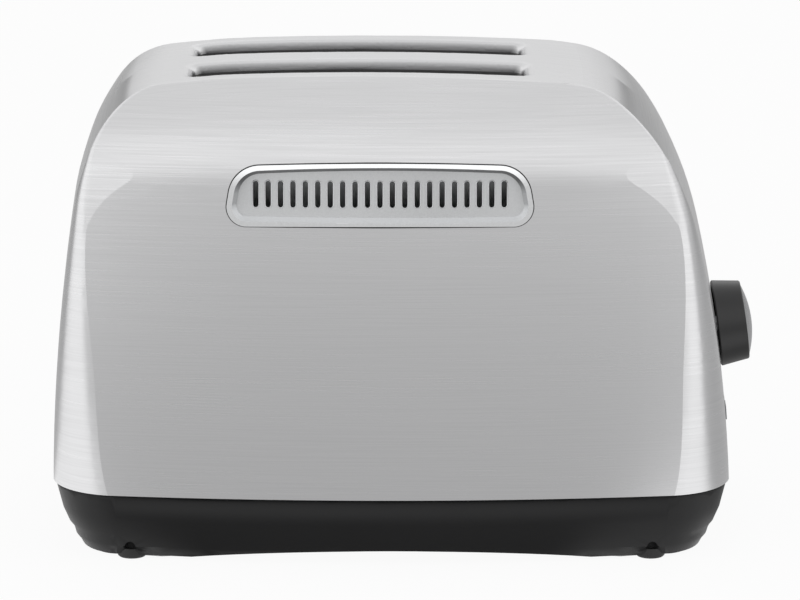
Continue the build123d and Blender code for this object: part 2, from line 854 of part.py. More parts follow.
def bread_guide(y):
    """A wire cage: a pivot wire in the bulkheads, upright bars and a top wire."""
    pivot = rod_along_x(
        rear_plate - 2 * bulkhead_sheet - 1, front_face + 1, y, guide_pivot_height, guide_pivot_wire / 2
    )
    span = (guide_bars - 1) * guide_bar_pitch
    top = rod_along_x(
        slots_place - span / 2 - 3, slots_place + span / 2 + 3, y, guide_top, guide_pivot_wire / 2
    )
    cage = pivot + top
    for index in range(guide_bars):
        x = slots_place - span / 2 + index * guide_bar_pitch
        cage = cage + upright(x, y, guide_pivot_height, guide_top, guide_wire / 2)
    return cage


for name, (y, _) in guide_places.items():
    parts[f"{name}_guide"] = bread_guide(y)

# Carriage: a plate outside the front bulkhead, with a bread rack through it into each slot.
carriage_x = front_face + carriage_gap
carriage_face = carriage_x + carriage_sheet
plate = block(
    carriage_x, carriage_face, -carriage_half_width, carriage_half_width, carriage_low, carriage_high
)
plate = plate - block(
    carriage_x - 1, carriage_face + 1, -11, 11, carriage_low - 1, carriage_low + 6
)
parts["carriage_plate"] = plate
bush_block = block(
    carriage_face, rod_x, -bush_radius + 1, bush_radius - 1, carriage_low + 6, carriage_high
)
bush = bush_block + upright(rod_x, 0, carriage_low + 6, carriage_high, bush_radius)
parts["carriage_bush"] = bush - upright(
    rod_x, 0, carriage_low, carriage_high + 1, rod_radius + running_clearance
)


def bread_rack(y):
    spine = block(
        rear_plate - bulkhead_sheet - 3,
        carriage_x,
        y - rack_spine_thickness / 2,
        y + rack_spine_thickness / 2,
        spine_low,
        spine_high,
    )
    pitch = (slot_length - 3 * rack_bar_width) / (rack_bars - 1)
    for index in range(rack_bars):
        x = slots_place + (index - (rack_bars - 1) / 2) * pitch
        spine = spine + block(
            x - rack_bar_width / 2,
            x + rack_bar_width / 2,
            y - rack_bar_length / 2,
            y + rack_bar_length / 2,
            spine_high,
            rack_top,
        )
    return spine


parts["near_bread_rack"] = bread_rack(-slot_pitch / 2)
parts["far_bread_rack"] = bread_rack(slot_pitch / 2)

# Drive: a pinion on the gearmotor's shaft raises the carriage by a straight rack.
pitch_radius = gear_module * gear_teeth / 2
pinion_y = gear_line + pitch_radius
rack_pitch = pi * gear_module
gear_low = carriage_face
tooth_slope = tan(radians(gear_pressure))
addendum = gear_module
dedendum = 1.25 * gear_module


def lift_rack():
    """Straight-sided teeth that face +y, with a gap level with the pinion's middle."""
    below = ceil(1.5 * addendum / tooth_slope / rack_pitch) + 1
    above = ceil((lift_travel + below * rack_pitch) / rack_pitch)
    tip_half = rack_pitch / 4 - gear_thinning / 2 - addendum * tooth_slope
    root_half = rack_pitch / 4 - gear_thinning / 2 + dedendum * tooth_slope
    root_y = gear_line - dedendum
    tip_y = gear_line + addendum
    points = [(root_y - gear_back, gear_height - below * rack_pitch)]
    points.append((root_y, gear_height - below * rack_pitch))
    for index in range(-below, above):
        z = gear_height + (index + 0.5) * rack_pitch
        points += [(root_y, z - root_half), (tip_y, z - tip_half), (tip_y, z + tip_half), (root_y, z + root_half)]
    points.append((root_y, gear_height + above * rack_pitch))
    points.append((root_y - gear_back, gear_height + above * rack_pitch))
    plane = Plane(origin=(gear_low, 0, 0), x_dir=(0, 1, 0), z_dir=(1, 0, 0))
    return extrude(plane * make_face(Polyline(*points, close=True)), gear_width)


def involute_pinion():
    """A spur pinion with involute flanks, one tooth pointing at the rack, on a plain shaft."""
    base_radius = pitch_radius * cos(radians(gear_pressure))
    tip_radius = pitch_radius + addendum
    root_radius = pitch_radius - dedendum
    half_tooth = pi / (2 * gear_teeth) - gear_thinning / (2 * pitch_radius)
    pitch_involute = tan(radians(gear_pressure)) - radians(gear_pressure)
    flank_points = 4
    flank = [(root_radius, half_tooth + pitch_involute + 0.01)]
    for step in range(flank_points):
        radius = base_radius + (tip_radius - base_radius) * step / (flank_points - 1)
        turn = acos(base_radius / radius)
        flank.append((radius, half_tooth + pitch_involute - (tan(turn) - turn)))
    points = []
    for tooth in range(gear_teeth):
        middle = pi + tooth * 2 * pi / gear_teeth
        for radius, half in flank:
            points.append((radius * cos(middle - half), radius * sin(middle - half)))
        for radius, half in reversed(flank):
            points.append((radius * cos(middle + half), radius * sin(middle + half)))
    plane = Plane(origin=(gear_low, pinion_y, gear_height), x_dir=(0, 1, 0), z_dir=(1, 0, 0))
    wheel = extrude(plane * make_face(Polyline(*points, close=True)), gear_width)
    shaft_end = gearbox_x + gearbox_depth - 2
    return wheel + rod_along_x(gear_low, shaft_end, pinion_y, gear_height, gear_shaft)


gearbox_x = front_face + gearbox_place
parts["lift_rack"] = lift_rack()
parts["drive_pinion"] = involute_pinion()
shaft_hole = gear_shaft + running_clearance
gearbox_span = (pinion_y - gearbox_width / 2, pinion_y + gearbox_width / 2)
gearbox_levels = (gear_height - gearbox_width / 2, gear_height + gearbox_width / 2)
gearbox = block(gearbox_x, gearbox_x + gearbox_depth, *gearbox_span, *gearbox_levels)
gearbox = fillet(gearbox.edges().filter_by(Axis.X), 3.0)
parts["motor_gearbox"] = gearbox - rod_along_x(
    gearbox_x - 1, gearbox_x + gearbox_depth - 1.5, pinion_y, gear_height, shaft_hole
)
motor_x = gearbox_x + gearbox_depth
can = rod_along_x(motor_x, motor_x + motor_length, pinion_y, gear_height, motor_radius)
flats = block(
    motor_x - 1, motor_x + motor_length + 1, pinion_y - motor_radius, pinion_y + motor_radius,
    gear_height - 0.8 * motor_radius, gear_height + 0.8 * motor_radius,
)
parts["motor_can"] = can & flats

bracket_side = gearbox_span[1] + 4.0
bracket_flange = 9.5
bracket = block(
    front_face, front_face + bracket_sheet, bracket_side, bracket_side + bracket_flange, *gearbox_levels
)
bracket = bracket + block(
    front_face, gearbox_x, bracket_side, bracket_side + bracket_sheet, *gearbox_levels
)
bracket = bracket + block(
    gearbox_x - bracket_sheet, gearbox_x, gearbox_span[0], bracket_side + bracket_sheet, *gearbox_levels
)
bracket = bracket - rod_along_x(
    gearbox_x - 3, gearbox_x + 1, pinion_y, gear_height, gear_shaft + 3
)
bracket_screws = [
    (bracket_side + bracket_flange * 0.6, gear_height - 9),
    (bracket_side + bracket_flange * 0.6, gear_height + 9),
]
for y, z in bracket_screws:
    bracket = bracket - rod_along_x(front_face - 1, front_face + 3, y, z, screw_shank + 0.1)
parts["motor_bracket"] = bracket
for y, z in bracket_screws:
    parts["front_bulkhead"] = parts["front_bulkhead"] - rod_along_x(
        front_plate - 1, front_face + 1, y, z, screw_shank + 0.1
    )

switch_y = -46.0
switch_low = 30.0
switch = block(front_face, front_face + 7, switch_y - 6, switch_y + 6, switch_low, switch_low + 16)
lever = block(front_face + 2, front_face + 5, switch_y + 6, switch_y + 10.5, switch_low + 12, switch_low + 13)
parts["limit_switch"] = switch + lever

terminal_x = flange_x["front"][1] + 8
terminals = block(terminal_x, terminal_x + 14, -48, -12, base_floor, base_floor + 13)
for index in range(3):
    y = -42 + index * 12
    terminals = terminals - upright(terminal_x + 7, y, base_floor + 9, base_floor + 14, 3)
parts["terminal_block"] = terminals


# Control end: a carrier behind the end wall holds the board, the buttons and the control.
end_wall_inside = end_half(front_end, -sheet_thickness - fit_gap, seam_height)
carrier_face = Pos(0, (carrier_low + carrier_high) / 2) * RectangleRounded(
    2 * carrier_half_width, carrier_high - carrier_low, 5.0
)
carrier = control(carrier_back, carrier_face, through) & end_wall_inside
post_places = [
    (sx * (carrier_half_width - 1.4 * post_radius), y)
    for sx in (-1, 1)
    for y in (carrier_low + 1.4 * post_radius, carrier_high - 1.4 * post_radius)
]
for x, y in post_places:
    carrier = carrier + control(board_depth, disc(post_radius, x, y), board_depth - carrier_back)
    carrier = carrier - control(board_depth + 1, disc(screw_shank + running_clearance, x, y), 9.0)
pot_bush = 4.4
carrier = carrier - control(through, disc(pot_bush + fit_gap), 2 * through)
carrier = carrier - control(through, disc(lens_radius + fit_gap / 2, 0, lens_row), 2 * through)
for place in button_places:
    well = RectangleRounded(button_width + 2 * button_gap, button_height + 2 * button_gap, 1.2)
    carrier = carrier - control(through, Pos(place, button_row) * well, 2 * through)
parts["control_carrier"] = carrier

board_face = Pos(0, (board_low + board_high) / 2) * RectangleRounded(
    2 * board_half_width, board_high - board_low, 2.0
)
board = control(board_depth + board_thickness, board_face, board_thickness)
for x, y in post_places:
    board = board - control(board_depth + through, disc(screw_shank + 0.1, x, y), through)
parts["control_board"] = board

pot = control(board_depth, disc(pot_radius), pot_thickness)
pot = pot + control(board_depth - pot_thickness, disc(pot_bush), board_depth - pot_thickness - carrier_back + 2)
parts["dial_control"] = pot - control(
    board_depth - 1.5, disc(spindle_radius + running_clearance), board_depth
)

switch_top = button_stem + button_travel + 0.2
button_front = end_half(front_end, button_proud, seam_height)
flange_depth = carrier_back + running_clearance
switches = []
for name, place in zip(button_names, button_places):
    cap = RectangleRounded(button_width, button_height, 1.0)
    button = control(button_stem, Pos(place, button_row) * cap, through * 2) & button_front
    lip = RectangleRounded(button_width + 2 * button_flange, button_height + 2 * button_flange, 1.5)
    button = button + control(
        flange_depth + button_flange_thickness, Pos(place, button_row) * lip, button_flange_thickness
    )
    parts[name] = button
    case = control(board_depth, Pos(place, button_row) * Rectangle(6, 6), board_depth - switch_top - 1.5)
    plunger = control(switch_top + 1.5, disc(1.7, place, button_row), 1.5)
    switches.append(case + plunger)
parts["push_switches"] = together(switches)

lamp = control(board_depth, disc(lens_radius - 0.3, 0, lens_row), board_depth - 10)
relay = control(board_depth, Pos(-26, 16) * Rectangle(18, 14), 12.0)
capacitors = [control(board_depth, disc(4.5, x, 18), 11.0) for x in (18, 29)]
chip = control(board_depth, Pos(22, -8) * Rectangle(10, 10), 1.8)
parts["board_components"] = together([lamp, relay, chip, *capacitors])
lens_front = end_half(front_end, 0.2, seam_height)
parts["indicator_lens"] = control(9.0, disc(lens_radius, 0, lens_row), through * 2) & lens_front


# Knob: a hollow black grip, a domed metal cap in its face, and the spindle of the control.
def turned(points):
    """A solid of revolution about the knob's axis, from radius and height pairs."""
    plane = Plane(origin=control_plane.origin, x_dir=control_plane.x_dir, z_dir=-control_plane.y_dir)
    profile = plane * make_face(Polyline(*points, close=True))
    return revolve(profile, Axis(control_plane.origin, control_plane.z_dir), 360)


grip_top = knob_gap + knob_length
cap_seat = grip_top - knob_cap_seat
hollow_top = cap_seat - knob_wall
slope = (knob_radius - knob_top_radius) / knob_length
inner_low = knob_radius - knob_wall
inner_high = inner_low - slope * (hollow_top - knob_gap)
spindle_end = hollow_top
grip_outline = [
    (spindle_radius, knob_gap + 1),
    (knob_stem_radius, knob_gap + 1),
    (knob_stem_radius, hollow_top),
    (inner_high, hollow_top),
    (inner_low, knob_gap),
    (knob_radius - 0.5, knob_gap),
    (knob_radius, knob_gap + 0.5),
    (knob_top_radius, grip_top - 0.4),
    (knob_top_radius - 0.4, grip_top),
    (knob_cap_radius, grip_top),
    (knob_cap_radius, cap_seat),
    (0, cap_seat),
    (0, spindle_end),
    (spindle_radius, spindle_end),
]
parts["knob_grip"] = turned(grip_outline)
dome_radius = (knob_cap_radius**2 + knob_dome**2) / (2 * knob_dome)
cap_blank = control(-cap_seat, disc(knob_cap_radius), knob_cap_seat + knob_dome)
dome_centre = control_plane.origin + control_plane.z_dir * (grip_top + knob_dome - dome_radius)
parts["knob_cap"] = cap_blank & (Pos(*dome_centre) * Sphere(dome_radius))
spindle_start = board_depth - 2.0
parts["knob_spindle"] = control(spindle_start, disc(spindle_radius), spindle_start + spindle_end)

bulkhead_screw = pan_screw(8.0)
parts["bulkhead_screws"] = together(
    [Pos(x, y, bulkhead_foot + bulkhead_sheet) * bulkhead_screw for x, y in flange_screws]
)
sheet_screw = pan_screw(5.0)
parts["bracket_screws"] = together(
    [
        Plane(origin=(front_face + bracket_sheet, y, z), x_dir=(0, 1, 0), z_dir=(1, 0, 0)) * sheet_screw
        for y, z in bracket_screws
    ]
)
board_screw = pan_screw(7.0)
board_back = control_plane.offset(-board_depth - board_thickness)
parts["board_screws"] = together(
    [board_back * Pos(x, y) * Rot(180, 0, 0) * board_screw for x, y in post_places]
)

# The finished pieces are moved so that x = 0 is the middle of the whole length.
knob_end = parts["knob_cap"].bounding_box().max.X
row_shift = (half_length - knob_end) / 2

os.makedirs("parts", exist_ok=True)
for name, shape in parts.items():
    export_step(Pos(row_shift, 0, 0) * shape, f"parts/{name}.step")
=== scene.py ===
import json
import math

import bmesh
import bpy
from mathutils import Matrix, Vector, geometry
from mathutils.bvhtree import BVHTree

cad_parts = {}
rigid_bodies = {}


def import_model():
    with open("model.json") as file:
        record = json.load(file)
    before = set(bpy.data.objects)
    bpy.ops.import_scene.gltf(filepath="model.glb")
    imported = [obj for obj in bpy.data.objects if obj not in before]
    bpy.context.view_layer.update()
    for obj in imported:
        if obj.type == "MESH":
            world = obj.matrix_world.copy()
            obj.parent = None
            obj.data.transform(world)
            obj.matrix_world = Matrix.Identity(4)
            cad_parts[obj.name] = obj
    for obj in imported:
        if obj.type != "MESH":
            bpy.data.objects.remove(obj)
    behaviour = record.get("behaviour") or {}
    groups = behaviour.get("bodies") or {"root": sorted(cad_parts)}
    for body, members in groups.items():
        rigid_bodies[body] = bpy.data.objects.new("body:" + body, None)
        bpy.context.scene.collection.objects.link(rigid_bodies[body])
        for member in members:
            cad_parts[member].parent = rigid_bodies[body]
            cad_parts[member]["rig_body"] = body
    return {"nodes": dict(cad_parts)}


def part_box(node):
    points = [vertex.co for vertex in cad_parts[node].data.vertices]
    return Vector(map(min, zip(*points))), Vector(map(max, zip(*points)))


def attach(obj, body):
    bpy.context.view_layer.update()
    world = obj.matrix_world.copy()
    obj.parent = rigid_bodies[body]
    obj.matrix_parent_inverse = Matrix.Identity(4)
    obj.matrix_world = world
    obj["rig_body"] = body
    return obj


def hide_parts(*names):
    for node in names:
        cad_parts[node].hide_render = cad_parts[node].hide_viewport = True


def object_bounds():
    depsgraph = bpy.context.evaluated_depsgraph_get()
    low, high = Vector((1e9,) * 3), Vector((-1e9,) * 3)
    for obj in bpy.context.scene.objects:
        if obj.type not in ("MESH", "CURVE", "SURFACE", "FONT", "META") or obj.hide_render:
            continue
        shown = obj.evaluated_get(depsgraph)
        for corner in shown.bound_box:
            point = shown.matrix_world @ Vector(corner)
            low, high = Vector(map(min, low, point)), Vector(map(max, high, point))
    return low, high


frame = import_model()
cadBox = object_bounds()
nodes = frame["nodes"]
mm = 0.001
print("frame loaded:", len(nodes), "nodes")


def srgb(hexColour):
    # sRGB hex to the linear colour that the shaders take
    channels = [int(hexColour[i:i + 2], 16) / 255 for i in (1, 3, 5)]
    linear = [c / 12.92 if c <= 0.04045 else ((c + 0.055) / 1.055) ** 2.4 for c in channels]
    return (*linear, 1.0)


def feed(tree, node, inputs):
    # an input given as a socket is linked, anything else is its value
    for key, value in inputs.items():
        socket = node.inputs[key]
        if isinstance(value, bpy.types.NodeSocket):
            tree.links.new(value, socket)
        else:
            socket.default_value = value


def addNode(tree, kind, place=(0, 0), inputs=None, **settings):
    # a node with its settings, links and values
    node = tree.nodes.new(kind)
    node.location = place
    for key, value in settings.items():
        setattr(node, key, value)
    feed(tree, node, inputs or {})
    return node


def newMaterial(name):
    material = bpy.data.materials.new(name)
    material.use_nodes = True
    tree = material.node_tree
    tree.nodes.clear()
    shader = addNode(tree, "ShaderNodeBsdfPrincipled", (300, 0))
    addNode(tree, "ShaderNodeOutputMaterial", (600, 0), {"Surface": shader.outputs[0]})
    return material, tree, shader


# Camera: where the photograph was taken from, square on to the vented side
camera = {
    "place": (-0.0020, -1.800, 0.519),
    "pitchDown": 13.34,
    "lens": 195.4,
    "sensor": 36.0,
    "farEnd": 60.0,
}
cameraData = bpy.data.cameras.new("photoCamera")
cameraData.sensor_width = camera["sensor"]
cameraData.lens = camera["lens"]
cameraData.clip_end = camera["farEnd"]
photoCamera = bpy.data.objects.new("photoCamera", cameraData)
photoCamera.location = camera["place"]
photoCamera.rotation_euler = (math.radians(90 - camera["pitchDown"]), 0, 0)
bpy.context.scene.collection.objects.link(photoCamera)
bpy.context.scene.camera = photoCamera
bpy.context.scene.view_settings.view_transform = "Standard"
print("camera placed")


# Studio: white behind the object for the camera. Gloss sees a soft room with a tall light bank
# at each side, a grey floor in front and a bright ceiling. The camera's side is -y.
# A rise is the stretch of a ray's height, or depth, over which one level turns into the next.
studio = {
    "diffuseLevel": 0.45,  # what matt surfaces get from the room
    "bankLevel": 1.35,
    "frontLevels": (0.66, 1.28),
    "frontRise": (0.0, 0.34),
    "rearLevels": (0.34, 1.22),
    "rearRise": (0.08, 0.26),
    "behindRise": (-0.1, 0.35),
    "ceiling": 1.02,
    "ceilingRise": (0.6, 0.92),
    "floorGrey": 0.575,
    "floorBank": 1.35,
}
# banks as compass angles from the camera's side, minus to the left: middle, half width, soft edge
skyBanks = {"left": (-66.0, 47.0, 12.0), "right": (46.0, 25.0, 12.0)}
floorBanks = {"left": (-76.0, 25.0, 14.0), "right": (56.0, 15.0, 12.0)}


def bankGlow(tree, coords, banks, place):
    # 1 where a direction or a place on the floor lies in one of the banks, else 0
    x, y = place
    level = addNode(tree, "ShaderNodeVectorMath", place, {
        0: coords, 1: (1, 1, 0),
    }, operation="MULTIPLY")
    bearing = addNode(tree, "ShaderNodeVectorMath", (x + 150, y), {
        0: level.outputs[0],
    }, operation="NORMALIZE")
    glows = []
    for row, (middle, half, edge) in enumerate(banks.values()):
        angle = math.radians(middle)
        facing = addNode(tree, "ShaderNodeVectorMath", (x + 300, y - 200 * row), {
            0: bearing.outputs[0], 1: (math.sin(angle), -math.cos(angle), 0),
        }, operation="DOT_PRODUCT")
        glow = addNode(tree, "ShaderNodeMapRange", (x + 450, y - 200 * row), {
            "Value": facing.outputs["Value"],
            "From Min": math.cos(math.radians(half + edge / 2)),
            "From Max": math.cos(math.radians(half - edge / 2)),
        }, interpolation_type="SMOOTHSTEP")
        glows.append(glow.outputs[0])
    return addNode(tree, "ShaderNodeMath", (x + 600, y), {
        0: glows[0], 1: glows[1],
    }, operation="MAXIMUM").outputs[0]


def buildWorld():
    world = bpy.data.worlds.new("studioRoom")
    world.use_nodes = True
    tree = world.node_tree
    tree.nodes.clear()
    coords = addNode(tree, "ShaderNodeTexCoord", (-1500, 0))
    axes = addNode(tree, "ShaderNodeSeparateXYZ", (-1300, 0), {0: coords.outputs["Generated"]})
    height, depth = axes.outputs["Z"], axes.outputs["Y"]
    rises = {
        "front": (height, studio["frontRise"], studio["frontLevels"]),
        "rear": (height, studio["rearRise"], studio["rearLevels"]),
        "behind": (depth, studio["behindRise"], (0.0, 1.0)),
        "above": (height, studio["ceilingRise"], (0.0, 1.0)),
    }
    risen = {}
    for row, (name, (value, span, levels)) in enumerate(rises.items()):
        risen[name] = addNode(tree, "ShaderNodeMapRange", (-1000, 200 - 200 * row), {
            "Value": value, "From Min": span[0], "From Max": span[1],
            "To Min": levels[0], "To Max": levels[1],
        }, interpolation_type="SMOOTHSTEP").outputs[0]
    glow = bankGlow(tree, coords.outputs["Generated"], skyBanks, (-1300, -700))
    # the room in front of the object, with the banks, the rear and the ceiling laid over it
    room = risen["front"]
    layers = [
        (glow, studio["bankLevel"]),
        (risen["behind"], risen["rear"]),
        (risen["above"], studio["ceiling"]),
    ]
    for column, (share, level) in enumerate(layers):
        room = addNode(tree, "ShaderNodeMix", (-600 + 150 * column, 0), {
            "Factor": share, 2: room, 3: level,
        }, data_type="FLOAT").outputs[0]
    rayKind = addNode(tree, "ShaderNodeLightPath", (-500, 400))
    gloss = addNode(tree, "ShaderNodeMath", (-300, 300), {
        0: rayKind.outputs["Is Glossy Ray"], 1: rayKind.outputs["Is Transmission Ray"],
    }, operation="MAXIMUM")
    lit = addNode(tree, "ShaderNodeMix", (-100, 100), {
        "Factor": gloss.outputs[0], 2: studio["diffuseLevel"], 3: room,
    }, data_type="FLOAT")
    seen = addNode(tree, "ShaderNodeMix", (100, 200), {
        "Factor": rayKind.outputs["Is Camera Ray"], 2: lit.outputs[0], 3: 1.0,
    }, data_type="FLOAT")
    background = addNode(tree, "ShaderNodeBackground", (300, 100), {
        "Color": (1, 1, 1, 1), "Strength": seen.outputs[0],
    })
    addNode(tree, "ShaderNodeOutputWorld", (500, 100), {"Surface": background.outputs[0]})
    bpy.context.scene.world = world


# lamps that only light: neither the camera nor gloss sees them; places and sizes are in metres
softboxAim = (0.0, 0.0, 0.1)
softboxes = {
    "overheadBank": {"place": (0.0, 0.5, 2.6), "size": (2.0, 1.2), "watts": 5.0},
    "leftBank": {"place": (-1.75, -1.55, 1.0), "size": (2.4, 2.2), "watts": 14.0},
    "rightBank": {"place": (1.9, -0.95, 0.8), "size": (1.7, 2.0), "watts": 13.0},
    "rearBank": {"place": (0.3, 2.4, 1.5), "size": (2.2, 1.2), "watts": 5.0},
}


def addSoftbox(name, box):
    light = bpy.data.lights.new(name, "AREA")
    light.shape = "RECTANGLE"
    light.size, light.size_y = box["size"]
    light.energy = box["watts"]
    lamp = bpy.data.objects.new(name, light)
    lamp.location = box["place"]
    direction = Vector(softboxAim) - Vector(box["place"])
    lamp.rotation_euler = direction.to_track_quat("-Z", "Y").to_euler()
    lamp.visible_camera = False
    lamp.visible_glossy = False
    bpy.context.scene.collection.objects.link(lamp)


# the floor: mostly its own white to the camera, so that only a faint shadow stays on it
floorLook = {"halfSize": 4.0, "whiteShare": 0.94, "paper": "#f4f4f4"}


def makeFloorPaper(look):
    # matt seamless paper, without sheen; gloss sees it grey, with the banks in it
    material = bpy.data.materials.new("matteWhitePaper")
    material.use_nodes = True
    tree = material.node_tree
    tree.nodes.clear()
    rayKind = addNode(tree, "ShaderNodeLightPath", (-600, 200))
    paper = addNode(tree, "ShaderNodeBsdfDiffuse", (-300, 0), {"Color": srgb(look["paper"])})
    white = addNode(tree, "ShaderNodeEmission", (-300, -200), {
        "Color": (1, 1, 1, 1), "Strength": 1.0,
    })
    coords = addNode(tree, "ShaderNodeTexCoord", (-1300, -400))
    glow = bankGlow(tree, coords.outputs["Object"], floorBanks, (-1150, -400))
    level = addNode(tree, "ShaderNodeMix", (-450, -400), {
        "Factor": glow, 2: studio["floorGrey"], 3: studio["floorBank"],
    }, data_type="FLOAT")
    grey = addNode(tree, "ShaderNodeEmission", (-300, -350), {
        "Color": (1, 1, 1, 1), "Strength": level.outputs[0],
    })
    backdrop = addNode(tree, "ShaderNodeMixShader", (-50, -250), {
        0: rayKind.outputs["Is Glossy Ray"], 1: white.outputs[0], 2: grey.outputs[0],
    })
    direct = addNode(tree, "ShaderNodeMath", (-300, 300), {
        0: rayKind.outputs["Is Camera Ray"], 1: rayKind.outputs["Is Glossy Ray"],
    }, operation="MAXIMUM")
    share = addNode(tree, "ShaderNodeMath", (-100, 300), {
        0: direct.outputs[0], 1: look["whiteShare"],
    }, operation="MULTIPLY")
    surface = addNode(tree, "ShaderNodeMixShader", (150, 0), {
        0: share.outputs[0], 1: paper.outputs[0], 2: backdrop.outputs[0],
    })
    addNode(tree, "ShaderNodeOutputMaterial", (400, 0), {"Surface": surface.outputs[0]})
    return material


def buildFloor(look):
    half = look["halfSize"]
    corners = [(-half, -half, 0), (half, -half, 0), (half, half, 0), (-half, half, 0)]
    mesh = bpy.data.meshes.new("studioFloor")
    mesh.from_pydata(corners, [], [(0, 1, 2, 3)])
    mesh.materials.append(makeFloorPaper(look))
    floor = bpy.data.objects.new("studioFloor", mesh)
    bpy.context.scene.collection.objects.link(floor)


buildWorld()
for name, box in softboxes.items():
    addSoftbox(name, box)
buildFloor(floorLook)
print("studio lit")


# Brushed stainless steel: the grain runs level round the body and along the top. Lengths in mm.
brushedSteel = {
    "colour": "#d3d3d4",
    "shade": "#c9c9ca",
    "shadeAt": 0.32,  # where in the pattern's strength each colour is reached
    "colourAt": 0.66,
    "roughness": 0.30,
    "roughSpread": 0.05,
    "roughSpan": (0.3, 0.7),
    "anisotropy": 0.7,
    "grainTurn": 0.25,  # a quarter turn, so that highlights stretch across the grain
    "grainHeight": 0.5,
    "grainLength": 50.0,
    "grainShare": 0.7,
    "cloudLength": 111.1,
    "cloudHeight": 38.46,
    "cloudShare": 0.3,
    "topSpan": (0.72, 0.9),  # the normal's z over which the walls' grain turns into the top's
    "bump": 0.03,
    "bumpDepth": 0.2,
    # painted shade inside the slots: its deep grey, and how much of it is laid over the steel
    "slotShadeColour": "#2e2e30",
    "slotShadeShare": 0.8,
    "slotShadeSpan": (-0.6, -1.0),  # the normal's y over which the painted shade comes in
    "slotReach": 46.0,  # both slots lie within this distance of the middle
    "slotDepth": 150.0,  # the painted shade stays above this height
}


def grainNoise(tree, coords, lengths, place, detail=3.0):
    # noise stretched to a length in mm along each axis
    scales = [1 / (length * mm) for length in lengths]
    mapping = addNode(tree, "ShaderNodeMapping", place, {"Vector": coords, "Scale": scales})
    return addNode(tree, "ShaderNodeTexNoise", (place[0] + 200, place[1]), {
        "Vector": mapping.outputs[0], "Scale": 1.0, "Detail": detail, "Roughness": 0.6,
    }).outputs["Fac"]


def steelGrain(tree, look, coords, onTop):
    # fine level streaks, and the same with broad clouds over them
    fine, long = look["grainHeight"], look["grainLength"]
    broad, low = look["cloudLength"], look["cloudHeight"]
    walls = grainNoise(tree, coords, (long, long, fine), (-1300, 300))
    top = grainNoise(tree, coords, (long, fine, long), (-1300, -50))
    clouds = grainNoise(tree, coords, (broad, broad, low), (-1300, -400), 2.0)
    grain = addNode(tree, "ShaderNodeMix", (-800, 150), {
        "Factor": onTop, 2: walls, 3: top,
    }, data_type="FLOAT")
    cloudy = addNode(tree, "ShaderNodeMath", (-800, -300), {
        0: clouds, 1: look["cloudShare"],
    }, operation="MULTIPLY")
    blend = addNode(tree, "ShaderNodeMath", (-600, 0), {
        0: grain.outputs[0], 1: look["grainShare"], 2: cloudy.outputs[0],
    }, operation="MULTIPLY_ADD")
    return grain.outputs[0], blend.outputs[0]


def lipPaintedShade(tree, look, coords, normalDepth):
    # painted shade: the lips are painted darker where they roll down into the slots, on the walls
    # that face -y
    here = addNode(tree, "ShaderNodeSeparateXYZ", (-1300, 650), {0: coords})
    inward = addNode(tree, "ShaderNodeMath", (-1100, 650), {
        0: here.outputs["Y"],
    }, operation="ABSOLUTE")
    nearSlots = addNode(tree, "ShaderNodeMath", (-900, 650), {
        0: inward.outputs[0], 1: look["slotReach"] * mm,
    }, operation="LESS_THAN")
    high = addNode(tree, "ShaderNodeMath", (-900, 500), {
        0: here.outputs["Z"], 1: look["slotDepth"] * mm,
    }, operation="GREATER_THAN")
    rolled = addNode(tree, "ShaderNodeMapRange", (-900, 800), {
        "Value": normalDepth, "From Min": look["slotShadeSpan"][0], "From Max": look["slotShadeSpan"][1],
        "To Min": 0.0, "To Max": look["slotShadeShare"],
    })
    zone = addNode(tree, "ShaderNodeMath", (-700, 600), {
        0: nearSlots.outputs[0], 1: high.outputs[0],
    }, operation="MULTIPLY")
    return addNode(tree, "ShaderNodeMath", (-500, 650), {
        0: zone.outputs[0], 1: rolled.outputs[0],
    }, operation="MULTIPLY").outputs[0]


def grainDirection(tree, normal, normalDepth, onTop):
    # level on the walls, along x on the top
    across = addNode(tree, "ShaderNodeVectorMath", (-1050, -950), {
        0: (0.0, 0.0, 1.0), 1: normal,
    }, operation="CROSS_PRODUCT")
    level = addNode(tree, "ShaderNodeVectorMath", (-850, -950), {
        0: across.outputs[0],
    }, operation="NORMALIZE")
    flip = addNode(tree, "ShaderNodeMath", (-1050, -1150), {
        0: normalDepth, 1: 0.0,
    }, operation="LESS_THAN")
    sign = addNode(tree, "ShaderNodeMapRange", (-850, -1150), {
        "Value": flip.outputs[0], "To Min": -1.0, "To Max": 1.0,
    })
    along = addNode(tree, "ShaderNodeCombineXYZ", (-650, -1150), {"X": sign.outputs[0]})
    return addNode(tree, "ShaderNodeMix", (-400, -900), {
        "Factor": onTop, 4: level.outputs[0], 5: along.outputs[0],
    }, data_type="VECTOR").outputs[1]


